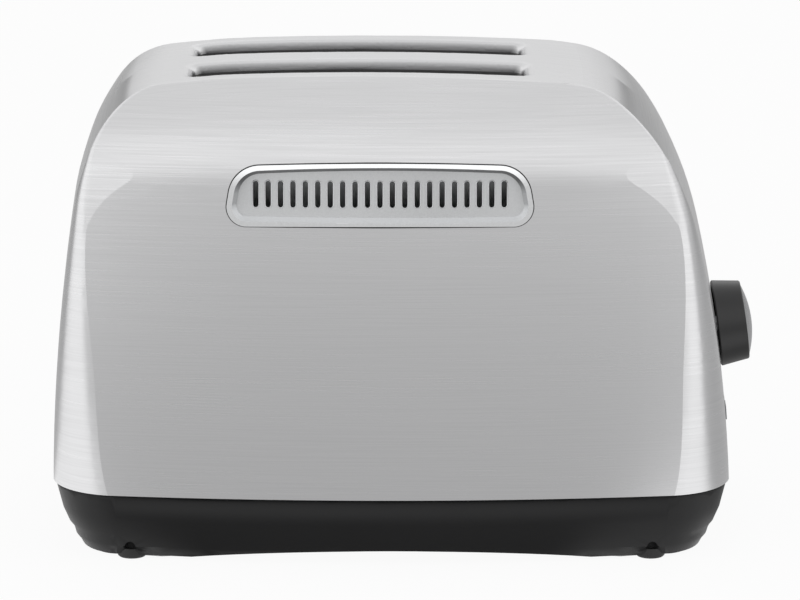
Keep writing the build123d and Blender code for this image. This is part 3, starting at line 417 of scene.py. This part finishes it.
def makeBrushedSteel(name, look):
    material, tree, shader = newMaterial(name)
    coords = addNode(tree, "ShaderNodeTexCoord", (-1600, 0))
    normalAxes = addNode(tree, "ShaderNodeSeparateXYZ", (-1300, -700), {0: coords.outputs["Normal"]})
    upward = addNode(tree, "ShaderNodeMapRange", (-1050, -700), {
        "Value": normalAxes.outputs["Z"],
        "From Min": look["topSpan"][0], "From Max": look["topSpan"][1],
    })
    onTop = upward.outputs[0]
    grain, blend = steelGrain(tree, look, coords.outputs["Object"], onTop)
    ramp = addNode(tree, "ShaderNodeValToRGB", (-400, 150), {"Fac": blend})
    darker, lighter = ramp.color_ramp.elements
    darker.position = look["shadeAt"]
    darker.color = srgb(look["shade"])
    lighter.position = look["colourAt"]
    lighter.color = srgb(look["colour"])
    # painted shade laid over the steel's colour where the lips roll down into the slots
    slotShade = lipPaintedShade(tree, look, coords.outputs["Object"], normalAxes.outputs["Y"])
    shadedSteel = addNode(tree, "ShaderNodeMix", (-150, 300), {
        "Factor": slotShade, 6: ramp.outputs["Color"], 7: srgb(look["slotShadeColour"]),
    }, data_type="RGBA")
    rough = addNode(tree, "ShaderNodeMapRange", (-400, -150), {
        "Value": blend, "From Min": look["roughSpan"][0], "From Max": look["roughSpan"][1],
        "To Min": look["roughness"] + look["roughSpread"],
        "To Max": look["roughness"] - look["roughSpread"],
    })
    bump = addNode(tree, "ShaderNodeBump", (0, -300), {
        "Height": grain, "Strength": look["bump"], "Distance": look["bumpDepth"] * mm,
    })
    feed(tree, shader, {
        "Metallic": 1.0,
        "Anisotropic": look["anisotropy"],
        "Anisotropic Rotation": look["grainTurn"],
        "Base Color": shadedSteel.outputs[2],
        "Roughness": rough.outputs[0],
        "Normal": bump.outputs[0],
        "Tangent": grainDirection(tree, coords.outputs["Normal"], normalAxes.outputs["Y"], onTop),
    })
    return material


chromeLook = {
    "colour": "#eeeff0",
    "shade": "#e2e3e4",
    "haze": 1.2,  # its size in mm
    "roughness": 0.12,
    "roughSpread": 0.02,
    # painted reflection: the deep grey painted on the undersides of the lips
    "under": "#3a3a3c",
    "underSpan": (0.02, -0.6),  # the normal's z over which the painted dark reflection comes in on the undersides
}


def makeChrome(name, look):
    # painted reflection: the undersides of its lips are painted deep grey, the dark room below as
    # chrome shows it
    material, tree, shader = newMaterial(name)
    coords = addNode(tree, "ShaderNodeTexCoord", (-1000, 0))
    haze = addNode(tree, "ShaderNodeTexNoise", (-750, 150), {
        "Vector": coords.outputs["Object"], "Scale": 1 / (look["haze"] * mm), "Detail": 2.0,
    })
    axes = addNode(tree, "ShaderNodeSeparateXYZ", (-750, -150), {0: coords.outputs["Normal"]})
    under = addNode(tree, "ShaderNodeMapRange", (-500, -150), {
        "Value": axes.outputs["Z"],
        "From Min": look["underSpan"][0], "From Max": look["underSpan"][1],
    })
    plated = addNode(tree, "ShaderNodeMix", (-500, 150), {
        "Factor": haze.outputs["Fac"], 6: srgb(look["shade"]), 7: srgb(look["colour"]),
    }, data_type="RGBA")
    colour = addNode(tree, "ShaderNodeMix", (-250, 50), {
        "Factor": under.outputs[0], 6: plated.outputs[2], 7: srgb(look["under"]),
    }, data_type="RGBA")
    gloss = addNode(tree, "ShaderNodeMapRange", (-250, -200), {
        "Value": haze.outputs["Fac"],
        "To Min": look["roughness"] + look["roughSpread"],
        "To Max": look["roughness"] - look["roughSpread"],
    })
    feed(tree, shader, {
        "Metallic": 1.0, "Base Color": colour.outputs[2], "Roughness": gloss.outputs[0],
    })
    return material


# The plain finishes by record slot. Speckle is the grain's size in mm, relief its strength as bump.
plainFinishes = {
    # stainless plate, bead blasted: an even soft satin
    "grille_plate": {
        "name": "satinStainless", "colour": "#d0d1d2", "shade": "#c4c5c6",
        "roughness": 0.36, "metallic": 1.0, "speckle": 0.5, "relief": 0.05,
    },
    # black ABS from a lightly textured mould: near black, with a dull soft shine
    "base_plastic": {
        "name": "blackAbs", "colour": "#0f0f10", "shade": "#0b0b0c",
        "roughness": 0.46, "speckle": 0.5, "relief": 0.22, "specular": 0.3,
    },
    # moulded rubber: black and matt
    "foot_rubber": {
        "name": "blackRubber", "colour": "#0e0e0e", "shade": "#0b0b0b",
        "roughness": 0.6, "speckle": 0.4, "relief": 0.3,
    },
    # aluminised steel sheet: a pale metal with a faint spangle
    "plated_sheet": {
        "name": "aluminisedSheet", "colour": "#c6c8c9", "shade": "#aeb1b3",
        "roughness": 0.33, "metallic": 1.0, "speckle": 2.5, "relief": 0.05,
    },
    # drawn steel rod: smooth and bright
    "bright_rod": {
        "name": "drawnSteelRod", "colour": "#c9cacb", "shade": "#b9babb",
        "roughness": 0.2, "metallic": 1.0, "speckle": 0.4, "relief": 0.02,
    },
    # turned nylon: off white and waxy
    "bearing_nylon": {
        "name": "naturalNylon", "colour": "#dedad0", "shade": "#d2cec3",
        "roughness": 0.4, "speckle": 0.5, "relief": 0.1,
    },
    # moulded acetal: dark grey, half matt
    "gearbox_plastic": {
        "name": "greyAcetal", "colour": "#3a3c3f", "shade": "#323437",
        "roughness": 0.45, "speckle": 0.5, "relief": 0.15,
    },
    # moulded polyamide: cream and matt
    "terminal_plastic": {
        "name": "creamPolyamide", "colour": "#d8d2bf", "shade": "#cbc4b0",
        "roughness": 0.5, "speckle": 0.5, "relief": 0.1,
    },
    # pressed paper board in phenolic resin: a flat tan brown
    "board_laminate": {
        "name": "phenolicBoard", "colour": "#8a6a3c", "shade": "#7c5e34",
        "roughness": 0.5, "speckle": 0.7, "relief": 0.1,
    },
    # moulded polycarbonate: glossy amber
    "lens_plastic": {
        "name": "amberPolycarbonate", "colour": "#d98a2b", "shade": "#cf7f22",
        "roughness": 0.12, "speckle": 1.0, "relief": 0.02,
    },
    # black ABS from a finely textured mould: a little glossier than the base
    "knob_plastic": {
        "name": "blackAbsFine", "colour": "#151516", "shade": "#111112",
        "roughness": 0.38, "speckle": 0.35, "relief": 0.15,
    },
    # spun aluminium: a soft grey metal
    "knob_metal": {
        "name": "spunAluminium", "colour": "#b4b5b7", "shade": "#a6a7a9",
        "roughness": 0.3, "metallic": 1.0, "speckle": 0.6, "relief": 0.05,
    },
    # zinc plated steel: pale and half bright
    "screw_steel": {
        "name": "zincPlatedScrew", "colour": "#b9bcbf", "shade": "#a9acb0",
        "roughness": 0.3, "metallic": 1.0, "speckle": 0.4, "relief": 0.05,
    },
    # pressed mica sheet: tan, with a pearly flake
    "mica": {
        "name": "pressedMica", "colour": "#a38c66", "shade": "#8f7852",
        "roughness": 0.42, "speckle": 3.0, "relief": 0.15,
    },
    # rolled nickel chrome ribbon: a dull warm grey metal
    "heater_ribbon": {
        "name": "nickelChromeRibbon", "colour": "#7d7a76", "shade": "#6d6a66",
        "roughness": 0.45, "metallic": 1.0, "speckle": 0.8, "relief": 0.1,
    },
    # drawn wire, chrome plated: bright
    "guide_wire": {
        "name": "chromedWire", "colour": "#cfd0d1", "shade": "#c2c3c4",
        "roughness": 0.2, "metallic": 1.0, "speckle": 0.5, "relief": 0.02,
    },
    # grey ABS from a lightly textured mould: a soft sheen
    "button_plastic": {
        "name": "greyAbsButtons", "colour": "#8f9092", "shade": "#858688",
        "roughness": 0.4, "speckle": 0.5, "relief": 0.15,
    },
}
# what all plain finishes share: broad patches and the relief's depth in mm
plainGrain = {
    "patch": 71.43,
    "colourSpan": (0.75, 1.25),
    "roughSpan": (0.7, 1.3),
    "roughSpread": 0.04,
    "reliefDepth": 0.1,
}


def makePlain(look, shared):
    # a moulded or rolled surface: a fine grain in its colour, gloss and relief, in broad patches
    material, tree, shader = newMaterial(look["name"])
    coords = addNode(tree, "ShaderNodeTexCoord", (-1000, 0))
    fine = addNode(tree, "ShaderNodeTexNoise", (-750, 100), {
        "Vector": coords.outputs["Object"], "Scale": 1 / (look["speckle"] * mm),
        "Detail": 3.0, "Roughness": 0.6,
    })
    broad = addNode(tree, "ShaderNodeTexNoise", (-750, -200), {
        "Vector": coords.outputs["Object"], "Scale": 1 / (shared["patch"] * mm), "Detail": 2.0,
    })
    mixed = addNode(tree, "ShaderNodeMath", (-500, 0), {
        0: fine.outputs["Fac"], 1: broad.outputs["Fac"],
    }, operation="ADD")
    share = addNode(tree, "ShaderNodeMapRange", (-300, 100), {
        "Value": mixed.outputs[0],
        "From Min": shared["colourSpan"][0], "From Max": shared["colourSpan"][1],
    })
    tint = addNode(tree, "ShaderNodeMix", (-100, 150), {
        "Factor": share.outputs[0], 6: srgb(look["shade"]), 7: srgb(look["colour"]),
    }, data_type="RGBA")
    gloss = addNode(tree, "ShaderNodeMapRange", (-300, -150), {
        "Value": mixed.outputs[0],
        "From Min": shared["roughSpan"][0], "From Max": shared["roughSpan"][1],
        "To Min": look["roughness"] - shared["roughSpread"],
        "To Max": look["roughness"] + shared["roughSpread"],
    })
    relief = addNode(tree, "ShaderNodeBump", (0, -300), {
        "Height": fine.outputs["Fac"], "Strength": look["relief"],
        "Distance": shared["reliefDepth"] * mm,
    })
    feed(tree, shader, {
        "Metallic": look.get("metallic", 0.0),
        "Specular IOR Level": look.get("specular", 0.5),
        "Base Color": tint.outputs[2],
        "Roughness": gloss.outputs[0],
        "Normal": relief.outputs[0],
    })
    return material


finishes = {
    # brushed stainless sheet: satin, with a fine level grain
    "brushed_shell": makeBrushedSteel("brushedStainless", brushedSteel),
    # die-cast zinc, polished and chrome plated: bright, with hardly any haze
    "chrome_trim": makeChrome("polishedChrome", chromeLook),
}
for slotName, look in plainFinishes.items():
    finishes[slotName] = makePlain(look, plainGrain)
for node in nodes.values():
    for slot in node.material_slots:
        slotName = slot.material.name.split(".")[0]
        if slotName in finishes:
            slot.material = finishes[slotName]
        else:
            print("no finish for", node.name, slotName)
print("finishes on")


weldDistance = 0.001  # corners of a solid's loose triangles this near, in mm, are one


def rideWith(piece, nodeName):
    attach(piece, nodes[nodeName]["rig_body"])


def linkPiece(name, mesh):
    mesh.name = name
    piece = bpy.data.objects.new(name, mesh)
    bpy.context.scene.collection.objects.link(piece)
    return piece


def copyNode(nodeName, pieceName, keepNormals=False):
    # a merged copy of a solid's mesh; the solid's own shading is put back where it is asked for
    source = nodes[nodeName]
    shading = [tuple(corner.vector) for corner in source.data.corner_normals]
    mesh = source.data.copy()
    piece = linkPiece(pieceName, mesh)
    for theirs, ours in zip(source.material_slots, piece.material_slots):
        ours.material = theirs.material
    build = bmesh.new()
    build.from_mesh(mesh)
    bmesh.ops.remove_doubles(build, verts=build.verts, dist=weldDistance * mm)
    build.to_mesh(mesh)
    build.free()
    if keepNormals and len(mesh.loops) == len(shading):
        mesh.normals_split_custom_set(shading)
    return piece


def smoothByAngle(mesh, degrees):
    for face in mesh.polygons:
        face.use_smooth = True
    mesh.set_sharp_from_angle(angle=math.radians(degrees))


def shellSpan():
    # the shell's middle along x and its half length, in mm
    low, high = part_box("outer_shell")
    return (low[0] + high[0]) / 2 / mm, (high[0] - low[0]) / 2 / mm


# The shell: beside the solid its ends round off earlier towards the crown, most at the dial end.
# At each end, in mm: the height where this starts, and how far the top draws in and drops.
shellCrown = {
    "still": 70.0,  # what lies nearer to the middle stays
    "reach": 1.35,  # above 1, the draw is full before the very end
    "rear": {"start": 150.0, "draw": 4.6, "drop": 2.6, "power": 0.85},
    "front": {"start": 128.0, "draw": 10.2, "drop": 4.0, "power": 1.4},
}


def makeShell(crown):
    piece = copyNode("outer_shell", "brushedShell", True)
    middle, halfLength = shellSpan()
    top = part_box("outer_shell")[1][2] / mm
    for vertex in piece.data.vertices:
        offset = vertex.co.x / mm - middle
        end = crown["front"] if offset > 0 else crown["rear"]
        height = vertex.co.z / mm
        outer = (abs(offset) - crown["still"]) / (halfLength - crown["still"])
        if height <= end["start"] or outer <= 0:
            continue
        share = ((height - end["start"]) / (top - end["start"])) ** end["power"]
        ease = share * share * (3 - 2 * share)  # a smooth step from 0 to 1
        drawn = end["draw"] * ease * min(1.0, outer * crown["reach"])
        vertex.co.x -= math.copysign(drawn, offset) * mm
        vertex.co.z -= end["drop"] * ease * outer * mm
    piece.data.update()
    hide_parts("outer_shell")
    rideWith(piece, "outer_shell")


makeShell(shellCrown)
print("shell drawn in at its crown")


# The base tub: beside the solid its long sides stand steeper and its floor hangs nearer the ground.
# Heights and lengths in mm; the draft, in degrees, and the rounding are the solid's own.
baseTub = {
    "seam": 28.5,
    "bottom": 3.2,
    "inset": 0.8,
    "draft": 14.0,
    "rounding": 18.0,
    "sideShare": 0.16,  # of the solid's inset, what the long sides keep
    "stretchFrom": 50.0,
    "turn": 9.4,  # below this height the ends fill out and the floor drops
    "endShare": 0.5,  # and of what is added to it below the turn, what the ends keep
    "endFrom": 100.0,
    "drop": 2.8,
    "crease": 28.0,  # degrees from which an edge stays sharp
}


def tubInset(height, tub):
    # how far the solid's outside stands in from the shell's foot at a height, in mm
    draft = math.radians(tub["draft"])
    centre = tub["bottom"] + tub["rounding"]
    if height >= centre - tub["rounding"] * math.sin(draft):
        return tub["inset"] + (tub["seam"] - height) * math.tan(draft)
    reach = tub["inset"] + (tub["seam"] - centre) * math.tan(draft)
    reach += tub["rounding"] / math.cos(draft)
    return reach - math.sqrt(max(0.0, tub["rounding"] ** 2 - (centre - height) ** 2))


def stretched(distance, start, edge, wanted):
    # moves what lies at the edge to where it is wanted, and nothing nearer than the start
    return start + (distance - start) * (wanted - start) / (edge - start)


def makeBaseTub(tub):
    piece = copyNode("base_housing", "baseTub")
    halfWidth = cadBox[1][1] / mm
    middle, halfLength = shellSpan()
    for vertex in piece.data.vertices:
        height = vertex.co.z / mm
        if height >= tub["seam"]:
            continue
        inset = tubInset(max(height, tub["bottom"]), tub)
        across = abs(vertex.co.y) / mm
        if across > tub["stretchFrom"]:
            wanted = halfWidth - tub["inset"] - tub["sideShare"] * (inset - tub["inset"])
            across = stretched(across, tub["stretchFrom"], halfWidth - inset, wanted)
            vertex.co.y = math.copysign(across * mm, vertex.co.y)
        if height >= tub["turn"]:
            continue
        offset = vertex.co.x / mm - middle
        if abs(offset) > tub["endFrom"]:
            edge = halfLength - inset
            fuller = edge + (inset - tubInset(tub["turn"], tub)) * (1 - tub["endShare"])
            along = stretched(abs(offset), tub["endFrom"], edge, fuller)
            vertex.co.x = (middle + math.copysign(along, offset)) * mm
        share = (tub["turn"] - height) / (tub["turn"] - tub["bottom"])
        vertex.co.z -= tub["drop"] * share * mm
    smoothByAngle(piece.data, tub["crease"])
    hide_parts("base_housing")
    rideWith(piece, "base_housing")


makeBaseTub(baseTub)
print("base tub made")


# Painted shadow: a dark wire round the bezel, drawn as the fine shadow line of the gap there.
# Lengths in mm.
bezelSeal = {
    "wire": 0.28,
    "wireSteps": 2,
    "outward": 0.15,  # from the bezel's outline
    "step": 3.0,
    "standOff": 10.0,  # how far outside the shell its rays start
    "wallFrom": 50.0,  # a hit nearer to the middle isn't on the side wall
    "crease": 60.0,
}


def shadowLinePath(shadowLine):
    # points on the shell's side along the bezel's outline, as seen from the front
    bezel = [(vertex.co.x, vertex.co.z) for vertex in nodes["vent_bezel"].data.vertices]
    ring = [Vector(bezel[index]) for index in geometry.convex_hull_2d(bezel)]
    middle = sum(ring, Vector((0, 0))) / len(ring)
    shell = nodes["outer_shell"].data
    surface = BVHTree.FromPolygons(
        [vertex.co for vertex in shell.vertices], [list(face.vertices) for face in shell.polygons])
    start = cadBox[0][1] - shadowLine["standOff"] * mm
    path = []
    for here, after in zip(ring, ring[1:] + ring[:1]):
        steps = max(1, math.ceil((after - here).length / (shadowLine["step"] * mm)))
        for step in range(steps):
            spot = here.lerp(after, step / steps)
            spot = spot + (spot - middle).normalized() * shadowLine["outward"] * mm
            hit = surface.ray_cast(Vector((spot.x, start, spot.y)), Vector((0, 1, 0)))[0]
            if hit is not None and hit.y < -shadowLine["wallFrom"] * mm:
                path.append(hit)
    return path


# painted shadow: a black wire laid on the shell along the bezel's outline, where the gap's shadow
# falls
def makeBezelShadowLine(shadowLine):
    path = shadowLinePath(shadowLine)
    curve = bpy.data.curves.new("bezelSealPath", "CURVE")
    curve.dimensions = "3D"
    curve.bevel_depth = shadowLine["wire"] * mm
    curve.bevel_resolution = shadowLine["wireSteps"]
    spline = curve.splines.new("POLY")
    spline.points.add(len(path) - 1)
    for point, place in zip(spline.points, path):
        point.co = (*place, 1.0)
    spline.use_cyclic_u = True
    carrier = bpy.data.objects.new("bezelSealPath", curve)
    mesh = bpy.data.meshes.new_from_object(carrier)
    bpy.data.objects.remove(carrier)
    mesh.materials.clear()
    mesh.materials.append(finishes["foot_rubber"])
    piece = linkPiece("bezelSeal", mesh)
    smoothByAngle(mesh, shadowLine["crease"])
    rideWith(piece, "vent_bezel")


# the painted shadow line round the bezel
makeBezelShadowLine(bezelSeal)
print("bezel sealed")


def newLayout(name, sockets):
    # a geometry tree with named inputs for its sizes
    tree = bpy.data.node_groups.new(name, "GeometryNodeTree")
    for socketName, kind in sockets.items():
        tree.interface.new_socket(socketName, in_out="INPUT", socket_type=kind)
    tree.interface.new_socket("Geometry", in_out="OUTPUT", socket_type="NodeSocketGeometry")
    return tree, addNode(tree, "NodeGroupInput", (-1400, 0)).outputs


def layPiece(pieceName, tree, values):
    # runs a layout with its inputs set and keeps the result as a plain mesh
    layoutName = pieceName + "Layout"
    carrier = linkPiece(layoutName, bpy.data.meshes.new(layoutName))
    modifier = carrier.modifiers.new("layout", "NODES")
    modifier.node_group = tree
    for item in tree.interface.items_tree:
        if item.in_out == "INPUT" and item.name in values:
            modifier[item.identifier] = values[item.name]
    carrier.update_tag()
    graph = bpy.context.evaluated_depsgraph_get()
    graph.update()
    mesh = bpy.data.meshes.new_from_object(carrier.evaluated_get(graph))
    carrier.modifiers.remove(modifier)
    bpy.data.objects.remove(carrier)
    return linkPiece(pieceName, mesh)


# Bright rolled rims round the vent's slots, laid on the plate. Lengths in mm.
ventRims = {
    "count": 21,
    "pitch": 5.05,
    "height": 10.8,
    "width": 2.3,
    "outward": 0.12,  # from the slot's edge
    "corner": 0.495,  # corner radius as a share of the width: nearly a half round
    "cornerSteps": 4,
    "wire": 0.24,
    "wireSides": 8,
    "standOff": 10.0,  # how far before the plate its rays start
    "reach": 100.0,  # and how far they go
    "crease": 60.0,
}


def ventRimLayout(rims):
    tree, given = newLayout("ventRimLayout", {
        "Count": "NodeSocketInt", "Pitch": "NodeSocketFloat", "Height": "NodeSocketFloat",
        "Width": "NodeSocketFloat", "Wire": "NodeSocketFloat", "Middle": "NodeSocketVector",
        "Plate": "NodeSocketObject", "Metal": "NodeSocketMaterial",
    })
    # one rim, upright
    outline = addNode(tree, "GeometryNodeCurvePrimitiveQuadrilateral", (-1200, 200), {
        "Width": given["Width"], "Height": given["Height"],
    })
    corner = addNode(tree, "ShaderNodeMath", (-1200, 0), {
        0: given["Width"], 1: rims["corner"],
    }, operation="MULTIPLY")
    rounded = addNode(tree, "GeometryNodeFilletCurve", (-1000, 200), {
        "Curve": outline.outputs[0], "Radius": corner.outputs[0],
        "Count": rims["cornerSteps"], "Limit Radius": True,
    }, mode="POLY")
    upright = addNode(tree, "GeometryNodeTransform", (-800, 200), {
        "Geometry": rounded.outputs[0], "Rotation": (math.radians(90), 0, 0),
    })
    # a row of them, half of it to the left of the middle
    halfCount = addNode(tree, "ShaderNodeMath", (-1300, -300), {
        0: given["Count"], 1: -0.5,
    }, operation="MULTIPLY")
    back = addNode(tree, "ShaderNodeMath", (-1100, -300), {
        0: given["Pitch"], 1: halfCount.outputs[0],
    }, operation="MULTIPLY")
    start = addNode(tree, "ShaderNodeCombineXYZ", (-900, -300), {"X": back.outputs[0]})
    first = addNode(tree, "ShaderNodeVectorMath", (-800, -300), {
        0: given["Middle"], 1: start.outputs[0],
    })
    step = addNode(tree, "ShaderNodeCombineXYZ", (-1000, -200), {"X": given["Pitch"]})
    row = addNode(tree, "GeometryNodeMeshLine", (-700, -200), {
        "Count": given["Count"], "Start Location": first.outputs[0], "Offset": step.outputs[0],
    })
    copies = addNode(tree, "GeometryNodeInstanceOnPoints", (-500, 100), {
        "Points": row.outputs[0], "Instance": upright.outputs[0],
    })
    real = addNode(tree, "GeometryNodeRealizeInstances", (-350, 100), {0: copies.outputs[0]})
    # each point is carried along y on to the bent plate
    plate = addNode(tree, "GeometryNodeObjectInfo", (-600, -500), {"Object": given["Plate"]})
    here = addNode(tree, "GeometryNodeInputPosition", (-600, -700))
    hit = addNode(tree, "GeometryNodeRaycast", (-350, -300), {
        "Target Geometry": plate.outputs["Geometry"], "Source Position": here.outputs[0],
        "Ray Direction": (0, 1, 0), "Ray Length": rims["reach"] * mm,
    })
    laid = addNode(tree, "GeometryNodeSetPosition", (-100, 100), {
        "Geometry": real.outputs[0], "Selection": hit.outputs["Is Hit"],
        "Position": hit.outputs["Hit Position"],
    })
    wire = addNode(tree, "GeometryNodeCurvePrimitiveCircle", (-100, -100), {
        "Resolution": rims["wireSides"], "Radius": given["Wire"],
    })
    rim = addNode(tree, "GeometryNodeCurveToMesh", (100, 100), {
        "Curve": laid.outputs[0], "Profile Curve": wire.outputs[0],
    })
    finished = addNode(tree, "GeometryNodeSetMaterial", (300, 100), {
        "Geometry": rim.outputs[0], "Material": given["Metal"],
    })
    addNode(tree, "NodeGroupOutput", (500, 100), {0: finished.outputs[0]})
    return tree


def makeVentRims(rims):
    low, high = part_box("vent_grille")
    middle = (
        (low[0] + high[0]) / 2 + rims["pitch"] * mm / 2,
        low[1] - rims["standOff"] * mm,
        (low[2] + high[2]) / 2,
    )
    piece = layPiece("ventSlotRims", ventRimLayout(rims), {
        "Count": rims["count"],
        "Pitch": rims["pitch"] * mm,
        "Height": (rims["height"] + 2 * rims["outward"]) * mm,
        "Width": (rims["width"] + 2 * rims["outward"]) * mm,
        "Wire": rims["wire"] * mm,
        "Middle": middle,
        "Plate": nodes["vent_grille"],
        "Metal": finishes["bright_rod"],
    })
    smoothByAngle(piece.data, rims["crease"])
    rideWith(piece, "vent_grille")


makeVentRims(ventRims)
print("vent rims laid")
